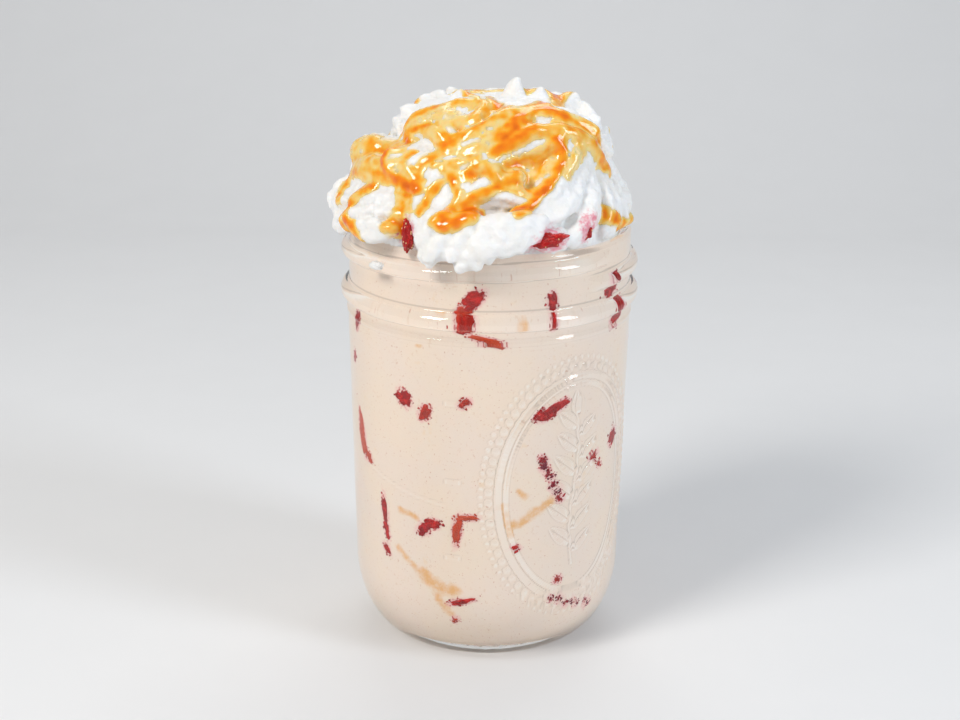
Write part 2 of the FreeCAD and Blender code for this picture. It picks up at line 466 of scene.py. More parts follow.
def beads_along_oval(offset, pitch):
    """Centres of evenly spaced beads on an oval this far outside the main one."""
    turns = np.linspace(0, 2 * math.pi, 721)
    across = (OVAL_HALF_WIDTH + offset) * np.cos(turns)
    up = (OVAL_HALF_HEIGHT + offset) * np.sin(turns)
    run = np.concatenate([[0], np.cumsum(np.hypot(np.diff(across), np.diff(up)))])
    count = round(run[-1] / pitch)
    places = np.arange(count) * run[-1] / count
    return np.c_[np.interp(places, run, across), np.interp(places, run, up)]


def stem_sway(up):
    return 1.2 * np.sin(up / 7)


def medallion_rise(angle, height):
    """The relief on the body: two oval rings, two rows of beads and a sprig of leaves."""
    across = np.radians(angle - OVAL_ANGLE) * BODY_TOP_RADIUS
    up = height - OVAL_HEIGHT
    outside = oval_distance(across, up)
    rise = np.maximum(0.5 * bump(outside, 0.95), 0.38 * bump(outside + 2.4, 0.7))
    for offset, pitch, size, tall in ((2.7, 3.1, 1.25, 0.42), (5.0, 2.4, 0.8, 0.3)):
        for bead in beads_along_oval(offset, pitch):
            rise = np.maximum(rise, tall * bump(np.hypot(across - bead[0], up - bead[1]), size))
    sprig = np.where(np.abs(up) < 24, 0.35 * bump(across - stem_sway(up), 0.7), 0.0)
    for i, start in enumerate(LEAF_HEIGHTS):
        length = 12.0 - 0.25 * (i - 2) ** 2
        for root, lean in ((start, 38.0), (start + 3.0, 142.0)):
            sprig = np.maximum(sprig, leaf(across - stem_sway(root), up - root, length, 2.3, lean))
    sprig = np.maximum(sprig, leaf(across, up - 21, 9.0, 2.2, 90.0))
    return np.maximum(rise, np.where(outside < -3.2, sprig, 0.0))


BAR_ANGLE = -105.0
BAR_HEIGHTS = (34.3, 57.4, 80.5)
BAR_HALF_LENGTH = 2.65
FLOW_ANGLES = (-158, -143, -132, -120, -105)
FLOW_HEIGHTS = (57.5, 54.6, 52.7, 51.2, 49.8)


def tick_rise(angle, height):
    """Plain measuring bars down the left of the front, without numbers, and a long flow line."""
    across = np.radians(angle - BAR_ANGLE) * BODY_TOP_RADIUS
    rise = np.zeros(np.broadcast(angle, height).shape)
    for bar_height in BAR_HEIGHTS:
        bar = smoothstep(0.0, 0.5, BAR_HALF_LENGTH - np.abs(across)) * bump(height - bar_height, 0.95)
        rise = np.maximum(rise, 0.34 * bar)
    line = np.interp(angle, FLOW_ANGLES, FLOW_HEIGHTS)
    ends = smoothstep(-158.0, -146.0, angle) * smoothstep(-103.0, -112.0, angle)
    return np.maximum(rise, 0.3 * ends * bump(height - line, 0.7))


def ring_rise(height):
    """How far the bead and the mould seam stand off the wall, with three fainter lines beside the seam
    that the glass itself does not have; only the painted light and shade on the drink use it.
    """
    bead = (height - (BEAD_BOTTOM + BEAD_TOP) / 2) / (BEAD_WIDTH / 2)
    seam = SEAM_PROJECTION * bump(height - SEAM_MIDDLE, SEAM_HALF_WIDTH)
    for offset, tall in ((-1.9, 0.2), (-3.4, 0.12), (1.7, 0.18)):
        seam = np.maximum(seam, tall * bump(height - SEAM_MIDDLE - offset, 0.7))
    return np.maximum(BEAD_PROJECTION * np.sqrt(np.clip(1 - bead ** 2, 0.0, 1.0)), seam)


def painted_caustic_light(angle, height):
    """Painted light and shade for the drink: where the relief in front would gather light on it (up to 1)
    or spread it (down to -1).
    """
    def rise(a, h):
        body = np.where(h < BEAD_BOTTOM - 1, medallion_rise(a, h) + tick_rise(a, h), 0.0)
        neck = np.where(h > BEAD_TOP, thread_rise(a, h), 0.0)
        return body + neck + 0.7 * ring_rise(h)
    step = 0.45
    turn = math.degrees(step / ARC_RADIUS)
    here = rise(angle, height)
    across = rise(angle - turn, height) + rise(angle + turn, height) - 2 * here
    upright = rise(angle, height - step) + rise(angle, height + step) - 2 * here
    slope = rise(angle, height + step) - rise(angle + turn, height)
    return np.clip(-(across + upright) * 1.5 + 0.5 * slope, -1, 1)


COLUMNS_START = OVAL_ANGLE - 48.0
FINE_SPACING = 0.56
PLAIN_SPACING = 1.9
BODY_ROW_STEP = 0.58
NECK_ROW_STEP = 0.42
DRINK_ROW_STEP = 0.46


def column_angles():
    """Angles of the jar's columns of vertices, closest together over the medallion and the bars."""
    angles = [COLUMNS_START]
    while angles[-1] < COLUMNS_START + 360.0:
        across = (angles[-1] - OVAL_ANGLE + 180) % 360 - 180
        fine = -66.0 < across < 47.0
        angles.append(angles[-1] + (FINE_SPACING if fine else PLAIN_SPACING))
    return np.array(angles[:-1])


def jar_outline():
    """Rows of the jar's outline from under the foot, up the outside and down the inside."""
    ring_inner = FOOT_RADIUS - FOOT_RING_WIDTH
    sphere = (ring_inner ** 2 + PUSH_UP ** 2) / (2 * PUSH_UP)
    under = np.linspace(0.0, ring_inner, 8)[:-1]
    rows = [(r, PUSH_UP - sphere + math.sqrt(sphere ** 2 - r ** 2), "plain") for r in under]
    rows += [(ring_inner, 0.0, "plain"), (FOOT_RADIUS - 1.0, 0.0, "plain")]
    heel = HEEL_HEIGHT * (1 - np.cos(np.radians(np.linspace(4, 90, 26))))
    body = np.arange(HEEL_HEIGHT + 0.55, SEAM_MIDDLE - 1.0, BODY_ROW_STEP)
    rows += [(wall_radius(height), height, "body") for height in (*heel, *body)]
    for height in np.linspace(SEAM_MIDDLE - 0.9, SEAM_MIDDLE + 0.9, 7):
        rise = SEAM_PROJECTION * bump(height - SEAM_MIDDLE, SEAM_HALF_WIDTH)
        rows.append((wall_radius(height) + rise, height, "plain"))
    rows.append((wall_radius(BEAD_BOTTOM - 0.7), BEAD_BOTTOM - 0.7, "plain"))
    for turn in np.radians(np.linspace(-84, 84, 15)):
        height = (BEAD_BOTTOM + BEAD_TOP) / 2 + BEAD_WIDTH / 2 * math.sin(turn)
        foot = np.interp(height, (BEAD_BOTTOM, BEAD_TOP), (BODY_TOP_RADIUS, NECK_RADIUS))
        rows.append((foot + BEAD_PROJECTION * math.cos(turn), height, "plain"))
    neck = np.arange(BEAD_TOP + 0.3, JAR_HEIGHT - LIP_EDGE, NECK_ROW_STEP)
    rows += [(NECK_RADIUS, height, "neck") for height in neck]
    slants = np.radians(np.linspace(8, 90, 7))
    tops = JAR_HEIGHT - LIP_EDGE * (1 - np.sin(slants))
    rounded = LIP_EDGE * (1 - np.cos(slants))
    rows += [(NECK_RADIUS - r, top, "plain") for r, top in zip(rounded, tops)]
    rows += [(MOUTH_RADIUS + r, top, "plain") for r, top in zip(rounded[::-1], tops[::-1])]
    inside = np.linspace(JAR_HEIGHT - LIP_EDGE - 1, HEEL_HEIGHT, 24)
    corner = HEEL_HEIGHT - (HEEL_HEIGHT - FLOOR) * np.cos(np.radians(np.linspace(84, 0, 12)))
    rows += [(inside_radius(height), height, "plain") for height in (*inside, *corner)]
    return rows + [(r, FLOOR, "plain") for r in np.linspace(FOOT_RADIUS - 5.0, 0.0, 5)]


def build_jar(material):
    angles = column_angles()
    turn = np.radians(angles)
    verts = []
    rows = jar_outline()
    for radius, height, kind in rows:
        radii = np.full(len(angles), radius)
        if kind == "body":
            waves = 0.05 * np.sin(turn * 5 + height * 0.11) * np.sin(height * 0.16 + 2 * turn)
            radii = radii + medallion_rise(angles, height) + tick_rise(angles, height) + waves
        elif kind == "neck":
            radii = radii + thread_rise(angles, height)
        verts.append(around(angles, height, radii))
    faces = grid_faces(len(rows), len(angles))
    piece = make_piece("jar_glass_body", np.concatenate(verts), faces, material)
    weld(piece)
    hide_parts("jar")
    return piece


def weld(piece):
    """Joins the vertices that meet on the axis."""
    shape = bmesh.new()
    shape.from_mesh(piece.data)
    bmesh.ops.remove_doubles(shape, verts=shape.verts, dist=1e-6)
    bmesh.ops.recalc_face_normals(shape, faces=shape.faces)
    shape.to_mesh(piece.data)
    shape.free()


# ---- drink

# Berry bits against the glass: (angle, height, half length, half width, lean, tone), where the tone
# runs from 0 for deep red to 1 for orange red and -1 for purple
FRONT_BITS = (
    (-97, 110, 3.6, 1.9, 40, 0.3), (-101, 106, 2.4, 1.8, 60, 0.6), (-100, 103, 2.4, 1.7, 0, 0.4),
    (-64, 109, 2.6, 1.3, -80, 0.2), (-64, 103, 1.0, 0.7, 80, 0.0), (-91, 99, 4.4, 0.9, -15, 0.9),
    (-31, 109, 3.2, 2.0, 30, -0.2), (-27, 101, 3.6, 2.0, 40, 0.1), (-158, 98, 3.0, 1.2, 70, 0.2),
    (-163, 86, 1.6, 0.7, 80, 0.0), (-127, 80, 2.4, 2.0, -60, 0.1), (-117, 77, 2.2, 1.5, 50, 0.5),
    (-100, 81, 1.5, 0.9, 35, 0.5), (-66, 77, 3.4, 1.5, 15, -0.1), (-60, 79, 3.0, 1.2, 25, -0.1),
    (-157, 64, 6.0, 1.8, -75, 0.9), (-151, 58, 1.9, 1.1, -30, 0.8), (-25, 64, 2.5, 1.6, 60, 0.0),
    (-40, 61, 1.4, 1.1, 20, 0.4), (-36, 58, 1.0, 0.6, -40, 0.5), (-140, 44, 4.2, 0.9, -85, 0.2),
    (-139, 38, 2.6, 0.9, -70, 0.2), (-139, 32, 1.5, 0.9, -50, 0.0), (-118, 42, 2.2, 1.5, 35, -0.3),
    (-114, 44, 2.2, 1.4, 10, 0.0), (-99, 47, 2.7, 0.8, 5, 1.0), (-103, 43, 4.0, 1.1, 85, 0.8),
    (-101, 21, 3.4, 0.7, 15, 0.3), (-78, 38, 0.7, 0.5, 0, 0.2), (-58, 26, 0.9, 0.7, 0, 0.4),
    (-104, 15, 0.6, 0.4, 20, 0.7),
)
# Runs of small purple bits: (first angle and height, last angle and height, count, longest)
SEEDY_RUNS = (((-67, 63), (-58, 52), 7, 1.2), ((-61, 20), (-37, 15), 7, 0.6))
# Caramel streaked through the drink: (angle, height) along each streak, then its half width
STREAKS = (
    (((-84, 51), (-82, 46), (-80, 42)), 1.5),
    (((-82, 45), (-76, 45), (-70, 48), (-62, 51)), 2.1),
    (((-77, 55), (-74, 53)), 1.4),
    (((-132, 34), (-124, 30), (-116, 26), (-104, 23)), 1.6),
    (((-119, 28), (-112, 25), (-104, 24)), 2.9),
    (((-112, 21), (-106, 17)), 1.8),
    (((-130, 46), (-122, 45)), 1.6),
    (((-78, 103), (-76, 103)), 1.5),
    (((-111, 105), (-109, 105)), 1.4),
    (((-120, 96), (-119, 96)), 1.1),
    (((28, 70), (38, 66), (50, 67)), 2.2),
    (((96, 36), (104, 30), (116, 28)), 2.2),
    (((140, 82), (148, 79)), 1.6),
)
BACK_BIT_COUNT = 34
BACK_BIT_GAP = 8.0
BACK_BIT_ANGLES = (2, 188)
BACK_BIT_HEIGHTS = (14, 114)


def all_bits():
    """The bits in front, then ones scattered behind, each well clear of the others."""
    bits = list(FRONT_BITS)
    for (first_angle, first_height), (last_angle, last_height), count, longest in SEEDY_RUNS:
        for share in np.linspace(0, 1, count):
            angle = first_angle + (last_angle - first_angle) * share + rng.uniform(-0.6, 0.6)
            height = first_height + (last_height - first_height) * share + rng.uniform(-0.7, 0.7)
            length = rng.uniform(0.4, longest)
            bits.append((angle, height, length, length * rng.uniform(0.7, 0.9), rng.uniform(-90, 90),
                         rng.uniform(-1.0, -0.3)))
    placed = len(bits)
    while len(bits) < placed + BACK_BIT_COUNT:
        angle, height = rng.uniform(*BACK_BIT_ANGLES), rng.uniform(*BACK_BIT_HEIGHTS)
        gaps = [np.hypot(round_gap(angle, bit[0]), height - bit[1]) for bit in bits]
        if min(gaps) < BACK_BIT_GAP:
            continue
        length = rng.uniform(1.2, 4.8)
        bits.append((angle, height, length, length * rng.uniform(0.3, 0.65), rng.uniform(-90, 90),
                     rng.uniform(-0.4, 0.8)))
    return bits


def drink_radius(height):
    """The drink reaches just into the glass, so that no gap shows between them."""
    return inside_radius(height) + 0.35


def near_bits(angles, heights, bits):
    """How close each vertex is to a berry bit: one at its edge, nothing some 2 mm away."""
    close = np.zeros(len(angles))
    for angle, height, length, width, lean, _ in bits:
        along, aside = turned(round_gap(angles, angle), heights - height, -lean)
        reach = np.hypot(along / (length + 0.2), aside / (width + 0.2))
        edge = (reach - 1) * min(length, width + 1.0)
        close = np.maximum(close, np.clip(1 - edge / 2.1, 0, 1))
    return close


def near_streaks(angles, heights):
    close = np.zeros(len(angles))
    for points, half_width in STREAKS:
        line_angles, line_heights = zip(*points)
        for t in np.linspace(0, len(points) - 1, 24):
            angle = np.interp(t, range(len(points)), line_angles)
            height = np.interp(t, range(len(points)), line_heights)
            gap = np.hypot(round_gap(angles, angle), heights - height)
            close = np.maximum(close, np.clip(1.3 - gap / half_width, 0, 1))
    return close


def build_drink(material, bits):
    rows = [(r, FLOOR - 0.3) for r in np.linspace(0.0, FOOT_RADIUS - 2.0, 6)]
    corner = HEEL_HEIGHT - (HEEL_HEIGHT - FLOOR + 0.3) * np.cos(np.radians(np.linspace(0, 84, 24)))
    sides = np.arange(HEEL_HEIGHT, FILM_TOP, DRINK_ROW_STEP)
    rows += [(drink_radius(height), height) for height in (*corner, *sides)]
    rows += [(MOUTH_RADIUS, FILM_TOP), (FILM_RADIUS, FILM_TOP - 0.3), (FILM_RADIUS, DRINK_LEVEL + 0.3)]
    rows += [(r, DRINK_LEVEL) for r in np.linspace(FILM_RADIUS - 0.4, 0.0, 8)]
    angles = column_angles()
    verts = [around(angles, z, r) for r, z in rows]
    faces = grid_faces(len(rows), len(angles))
    piece = make_piece("smoothie_drink", np.concatenate(verts), faces, material)
    weld(piece)
    places = vertex_places(piece)
    angle = np.degrees(np.arctan2(places[:, 1], places[:, 0]))
    angle = np.where(angle > 120, angle - 360, angle)
    add_values(piece, "pink", near_bits(angle, places[:, 2], bits))
    add_values(piece, "caramel", near_streaks(angle, places[:, 2]))
    outside = np.hypot(places[:, 0], places[:, 1]) > FOOT_RADIUS
    # Painted light and shade: pale and dark lines on the drink behind the glass's relief
    add_values(piece, "painted_caustics", np.where(outside, painted_caustic_light(angle, places[:, 2]), 0.0))
    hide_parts("smoothie")
    return piece


def specks_round(bits):
    """Torn-off specks scattered close round the bits."""
    specks = []
    for angle, height, length, width, lean, tone in bits:
        for _ in range(int(rng.integers(3, 8))):
            way = rng.uniform(0, 2 * math.pi)
            out = 1 + abs(rng.normal(0, 0.35))
            u = (length * out + 0.4) * math.cos(way)
            v = (width * out + 0.4) * math.sin(way)
            across, up = turned(u, v, lean)
            size = rng.uniform(0.18, 0.5)
            spot = (angle + math.degrees(across / ARC_RADIUS), height + up)
            shape = (size, size * rng.uniform(0.5, 0.9), rng.uniform(-90, 90), tone)
            if FLOOR + 2 < spot[1] < FILM_TOP - 2:
                specks.append(spot + shape)
    return specks


def build_bits(material, bits):
    """The berry bits and their specks: torn shapes pressed flat against the glass."""
    verts, faces, tones = [], [], []
    first = 0
    for angle, height, length, width, lean, tone in bits + specks_round(bits):
        columns, rings = (34, 6) if length > 0.6 else (9, 2)
        wobble = rng.uniform(0, 6.28, 4)
        turns = np.linspace(0, 2 * math.pi, columns, endpoint=False)
        edge = 1 + 0.15 * np.sin(2 * turns + wobble[0]) + 0.13 * np.sin(3 * turns + wobble[1])
        edge = edge + 0.10 * np.sin(5 * turns + wobble[2]) + 0.07 * np.sin(9 * turns + wobble[3])
        edge = edge + 0.08 * rng.uniform(-1, 1, columns)
        boxy = (np.abs(np.cos(turns)) ** 3 + np.abs(np.sin(turns)) ** 3) ** (-1 / 3)
        thick = min(0.55, 0.25 + length * 0.2)
        for i in range(rings + 1):
            slant = math.pi / 2 * (i + 0.25) / (rings + 0.25)
            u = length * math.sin(slant) * edge * boxy * np.cos(turns)
            v = width * math.sin(slant) * edge * boxy * np.sin(turns)
            across, up = turned(u, v, lean)
            heights = np.clip(height + up, FLOOR + 0.5, FILM_TOP - 0.5)
            radius = drink_radius(heights) + thick * math.cos(slant) ** 0.5 - 0.12
            radius = radius + 0.05 * rng.normal(0, 1, columns)
            verts.append(around(angle + np.degrees(across / ARC_RADIUS), heights, radius))
        faces += grid_faces(rings + 1, columns, first)
        faces.append(tuple(range(first, first + columns))[::-1])
        first += (rings + 1) * columns
        faces.append(tuple(range(first - columns, first)))
        tones += [tone] * ((rings + 1) * columns)
    piece = make_piece("strawberry_bits_in_drink", np.concatenate(verts), faces, material)
    add_values(piece, "tone", tones)
    weld(piece)
    return piece


# ---- cream

VOXEL = 0.56
GRID_LOW = np.array([-53.0, -52.0, JAR_HEIGHT - 11.0])
GRID_HIGH = np.array([52.0, 52.0, JAR_HEIGHT + 47.0])
GRID_SHAPE = tuple(int(n) for n in np.ceil((GRID_HIGH - GRID_LOW) / VOXEL) + 1)
AXES = [GRID_LOW[i] + VOXEL * np.arange(GRID_SHAPE[i]) for i in range(3)]
GRID_X, GRID_Y, GRID_Z = np.ix_(*AXES)
FAR = 9.0                   # further than any distance that matters here

# The mound's outline: (height above the mouth, left edge, right edge, reach to front and back)
MOUND = np.array((
    (-1, -43, 40, 42), (2, -45, 40, 42), (5, -45, 40, 42), (8, -44, 39, 40), (14, -39, 35, 36),
    (22, -38, 33, 32), (25, -28, 33, 31), (31, -26, 31, 26), (34, -24, 25, 22), (36, -14, 22, 17),
    (39, -4, 12, 9), (41, 5, 7, 1),
))
MOUND_MIDDLE = np.array([0.0, 0.0, JAR_HEIGHT + 6.0])
HIGHEST_ROPE = 40.2
STROKE_POINTS = 6
FLUTE_DEPTH = 0.024
CORE_DEPTH = 4.0            # how far the core lies inside the mound's outline
CORE_TOP = 36.5


def mound_shape(height):
    """The mound's centre, half width and reach to the front at a height above the mouth."""
    left, right, reach = (np.interp(height, MOUND[:, 0], MOUND[:, k]) for k in (1, 2, 3))
    return (left + right) / 2, (right - left) / 2, reach


def on_mound(angle, height, sink=0.0):
    """A point on the mound's outline, or this far inside it."""
    centre, half, reach = mound_shape(height)
    turn = math.radians(angle)
    place = np.array([centre + half * math.cos(turn), reach * math.sin(turn), JAR_HEIGHT + height])
    return place + unit(MOUND_MIDDLE - place) * sink


def smooth_path(points, spacing):
    """A Catmull-Rom curve through the points, at an even spacing."""
    points = np.asarray(points, dtype=float)
    ends = np.vstack([2 * points[0] - points[1], points, 2 * points[-1] - points[-2]])
    curve = []
    for i in range(1, len(ends) - 2):
        a, b, c, d = ends[i - 1:i + 3]
        for t in np.linspace(0, 1, 12, endpoint=False):
            curve.append(0.5 * (2 * b + (c - a) * t + (2 * a - 5 * b + 4 * c - d) * t ** 2
                                + (3 * b - a - 3 * c + d) * t ** 3))
    curve.append(points[-1])
    curve = np.array(curve)
    run = np.concatenate([[0], np.cumsum(np.linalg.norm(np.diff(curve, axis=0), axis=1))])
    places = np.linspace(0, run[-1], max(2, int(run[-1] / spacing)))
    return np.array([[np.interp(p, run, curve[:, k]) for k in range(curve.shape[1])] for p in places])


def window(centre, reach):
    """The grid's slices within reach of a point, and the points' offsets from it."""
    spans = []
    for i in range(3):
        first = max(0, math.floor((centre[i] - reach - GRID_LOW[i]) / VOXEL))
        last = min(GRID_SHAPE[i], math.ceil((centre[i] + reach - GRID_LOW[i]) / VOXEL) + 1)
        spans.append(slice(first, last))
    return tuple(spans), *np.ix_(*(AXES[i][spans[i]] - centre[i] for i in range(3)))


def smooth_union(a, b, blend):
    share = np.clip(0.5 + 0.5 * (b - a) / blend, 0.0, 1.0)
    return b + (a - b) * share - blend * share * (1 - share)


def grid_noise(size, seed):
    """Smooth random values between about -1 and 1 over the grid, varying over this many mm."""
    noise_rng = np.random.default_rng(seed)
    weights = []
    for i in range(3):
        place = (AXES[i] - GRID_LOW[i]) / size
        base = np.floor(place).astype(int)
        t = smoothstep(0, 1, place - base)
        w = np.zeros((len(place), int(place[-1]) + 2))
        w[np.arange(len(place)), base] = 1 - t
        w[np.arange(len(place)), base + 1] = t
        weights.append(w.astype(np.float32))
    lattice = noise_rng.uniform(-1, 1, [w.shape[1] for w in weights]).astype(np.float32)
    out = np.tensordot(weights[0], lattice, axes=(1, 0))
    out = np.tensordot(weights[1], out, axes=(1, 1)).transpose(1, 0, 2)
    return np.tensordot(out, weights[2], axes=(2, 1))


def stroke(start, end, lift=0, swing=0):
    """Points of a spoon's stroke from start to end, each an angle round the jar and a height above its
    mouth. The middle is lifted by this many mm and swung aside by this many degrees."""
    points = []
    for share in np.linspace(0, 1, STROKE_POINTS):
        bow = 4 * share * (1 - share)
        points.append((start[0] + (end[0] - start[0]) * share + swing * bow,
                       start[1] + (end[1] - start[1]) * share + lift * bow))
    return tuple(points)


def with_strokes(table):
    """A table's rows with their last entries, which say a stroke, turned into its points."""
    return [(half_width, other, stroke(*line)) for half_width, other, *line in table]


# Ropes of cream on the front: (half width, flutes, start, end, lift, swing)
FRONT_ROPES = (
    (3.8, 4, (-156, 27), (-103, 34), 6, 3),
    (3.4, 4, (-152, 28), (-107, 33), 3),
    (3.4, 5, (-147, 26), (-114, 27), 4),
    (4.4, 3, (-118, 27), (-55, 37), 1),
    (4.0, 3, (-108, 25), (-82, 32)),
    (3.4, 4, (-92, 28), (-25, 22), 9),
    (4.4, 4, (-95, 25), (-15, 17), 9),
    (4.4, 5, (-60, 35), (-8, 20), 4),
    (4.8, 2, (-184, 18), (-150, 24), 2),
    (4.2, 2, (-177, 14), (-130, 20), 2),
    (3.8, 3, (-171, 10), (-126, 17), 2),
    (3.8, 3, (-126, 29), (-119, 17), 0, -14),
    (3.4, 3, (-117, 26), (-117, 17), 0, -6),
    (3.6, 4, (-118, 24), (-99, 25), 2),
    (3.0, 4, (-115, 21), (-96, 23), 1),
    (3.6, 4, (-102, 19), (-81, 18), 5),
    (3.4, 3, (-117, 11), (-99, 18), 6, -3),
    (3.4, 3, (-100, 20), (-106, 9), 1, 4),
    (3.0, 3, (-110, 9), (-105, 17)),
    (3.4, 4, (-101, 12), (-74, 20), 2),
    (3.2, 5, (-99, 12), (-71, 13), 3),
    (4.2, 4, (-50, 28), (-74, 9), 1, 9),
    (4.0, 4, (-44, 27), (-70, 6), 0, 12),
    (4.4, 4, (-35, 25), (-52, 3), 0, 7),
    (4.4, 6, (-24, 21), (-32, 3), 0, 3),
    (4.0, 6, (-12, 19), (-16, 4)),
    (3.8, 6, (0, 18), (-3, 4)),
    (3.8, 4, (-118, 9), (-73, 4), 0),
    (3.4, 5, (-121, 15), (-114, 6), 0, 1),
    (4.4, 5, (-172, 4), (-123, 13), 3),
    (4.0, 5, (-156, 3), (-126, 9), 2),
    (3.6, 4, (-146, 3), (-127, 5)),
    (3.8, 6, (-166, 4), (-172, 12), 0, 2),
    (3.8, 6, (-179, 3), (-182, 12)),
    (3.4, 4, (-70, 4), (-54, 3)),
)
# The flap of cream that hangs over the lip: (angle, height of its lower edge)
FLAP_EDGE = (
    (-121, 5), (-118, 1), (-115, -2), (-111, -3), (-107, -1), (-103, -1), (-98, -4), (-95, -4), (-92, -2),
    (-88, 0), (-82, 1), (-77, 3),
)
# Torn tips that stand out of the mound: (half width, root, tip), both ends as (X, Y, height)
TIPS = (
    (3.0, (-34, 2, 18), (-39, 1, 22)), (2.8, (-37, -6, 9), (-41, -7, 12)),
    (3.0, (-21, 0, 30), (-26, -1, 33)), (3.0, (-9, -2, 33), (-8, -2, 38)),
    (3.8, (6, -3, 34), (7, -4, 42)), (3.4, (13, -2, 34), (14, -2, 39)),
    (4.0, (20, 1, 31), (24, 1, 37)), (3.2, (29, 0, 24), (33, -1, 28)),
    (3.0, (30, -6, 23), (34, -6, 21)), (3.2, (35, -3, 8), (40, -4, 7)),
    (2.8, (36, -8, 4), (40, -9, 3)), (3.0, (-18, 6, 31), (-19, 6, 35)),
    (2.8, (-40, -2, 2), (-44, -3, 4)), (2.6, (-41, -8, 1), (-44, -9, 1)),
    (3.0, (12, 14, 32), (13, 16, 36)), (3.0, (-10, 19, 29), (-11, 21, 33)),
    (3.0, (24, 20, 22), (27, 22, 24)), (3.0, (-24, 22, 20), (-27, 24, 23)),
    (2.8, (3, 33, 17), (4, 37, 19)),
)
BACK_ROPE_ROWS = ((4.5, 10, 4.2), (11.5, 9, 4.2), (18.5, 9, 4.0), (25.0, 8, 3.8), (31.0, 6, 3.6))


def back_ropes():
    """Ropes over the back of the mound: slanting strokes in rows, uneven like the front's."""
    ropes = []
    for height, count, half_width in BACK_ROPE_ROWS:
        for i in range(count):
            start = -6 + 186.0 * (i + rng.uniform(-0.2, 0.2)) / count
            sweep = rng.uniform(16, 34)
            lift = rng.uniform(3, 7) * rng.choice((-1, 1), p=(0.35, 0.65))
            middle = (start + sweep / 2, height + lift * 0.65 + rng.uniform(-1, 1.5))
            end = (start + sweep, height + lift)
            ropes.append((half_width * rng.uniform(0.8, 1.1), int(rng.integers(4, 6)),
                          ((start, height), middle, end)))
    return ropes


def add_rope(field, half_width, flutes, points):
    """Adds a fluted rope of cream along points of the mound to the distance field."""
    path = smooth_path([on_mound(a, min(h, HIGHEST_ROPE), half_width * 0.8) for a, h in points], 0.9)
    spin = rng.uniform(0, 6.28)
    low = np.array(GRID_SHAPE)
    high = np.zeros(3, dtype=int)
    patches = []
    count = len(path)
    for i, place in enumerate(path):
        share = i / max(count - 1, 1)
        taper = 0.6 + 0.4 * math.sin(math.pi * min(max(share * 1.1, 0.06), 0.94)) ** 0.6
        radius = half_width * taper * (1 + 0.08 * math.sin(5 * share + spin))
        ahead = unit(path[min(i + 1, count - 1)] - path[max(i - 1, 0)])
        side = unit(np.cross(ahead, unit(place - MOUND_MIDDLE)))
        out = np.cross(side, ahead)
        spans, x, y, z = window(place, radius * 1.3 + 1.2)
        distance = np.sqrt(x * x + y * y + z * z)
        across = x * side[0] + y * side[1] + z * side[2]
        above = x * out[0] + y * out[1] + z * out[2]
        around_path = np.arctan2(above, across)
        flute = 2 * np.abs(np.sin(flutes / 2 * around_path + spin + 1.2 * share)) - 1.2
        patches.append((spans, distance - radius * (1 + FLUTE_DEPTH * flutes * flute)))
        low = np.minimum(low, [s.start for s in spans])
        high = np.maximum(high, [s.stop for s in spans])
    rope = np.full(high - low, FAR, dtype=np.float32)
    for spans, values in patches:
        inner = tuple(slice(s.start - low[k], s.stop - low[k]) for k, s in enumerate(spans))
        rope[inner] = np.minimum(rope[inner], values)
    outer = tuple(slice(low[k], high[k]) for k in range(3))
    field[outer] = smooth_union(field[outer], rope, 0.5)


def add_ball(field, centre, radius, reach, blend):
    spans, x, y, z = window(centre, reach)
    field[spans] = smooth_union(field[spans], np.sqrt(x * x + y * y + z * z) - radius, blend)


def add_cone(field, root, tip, half_width):
    """Adds a torn tip: wide where it leaves the mound, pointed at its end."""
    for t in np.linspace(0, 0.85, 12):
        add_ball(field, root + (tip - root) * t, half_width * (1.2 - 1.12 * t), half_width + 2, 0.5)


def add_flap(field):
    """Adds the hanging flap as a row of overlapping strands with a ragged lower edge."""
    edge_angles, edge_heights = zip(*FLAP_EDGE)
    for angle in np.arange(edge_angles[0], -75.0, 3.3):
        half_width = 2.2 + 0.45 * math.sin(angle * 1.7)
        low = np.interp(angle, edge_angles, edge_heights) + half_width * 0.8 + rng.uniform(-0.25, 0.25)
        away = NECK_RADIUS + 2.1 + 0.35 * math.sin(angle * 0.9 + 1)
        for height in np.arange(low, 9.5, 0.7):
            back = max(height - 2.0, 0.0) * 0.32
            size = half_width * min(1.0, 0.72 + 0.12 * (height - low))
            centre = around(angle + 0.8 * height, JAR_HEIGHT + height, away - back)
            add_ball(field, centre, size, size + 1.6, 0.9)


def core_field():
    """The mound under the ropes, and the cream down in the mouth."""
    height = GRID_Z - JAR_HEIGHT
    centre, half, reach = mound_shape(height)
    half = np.maximum(half - CORE_DEPTH, 0.5)
    reach = np.maximum(reach - CORE_DEPTH, 0.5)
    ring = np.hypot((GRID_X - centre) / half, GRID_Y / reach) - 1
    mound = np.maximum(ring * np.minimum(half, reach) * 0.75, np.maximum(height - CORE_TOP, 0.2 - height))
    plug_top = np.maximum(height - 3, DRINK_LEVEL - 0.3 - GRID_Z)
    plug = np.maximum(np.hypot(GRID_X, GRID_Y) - (FILM_RADIUS + 0.2), plug_top)
    return np.minimum(mound, plug).astype(np.float32)


def keep_off_glass(field):
    """Cuts the cream away from the jar's lip and thread."""
    ring = np.hypot(GRID_X, GRID_Y)
    angle = np.degrees(np.arctan2(GRID_Y, GRID_X))
    outer = NECK_RADIUS + 0.03 + thread_rise(angle, GRID_Z)
    glass = np.minimum(np.minimum(ring - (FILM_RADIUS + 0.2), outer - ring), JAR_HEIGHT + 0.02 - GRID_Z)
    return np.maximum(field, glass.astype(np.float32))


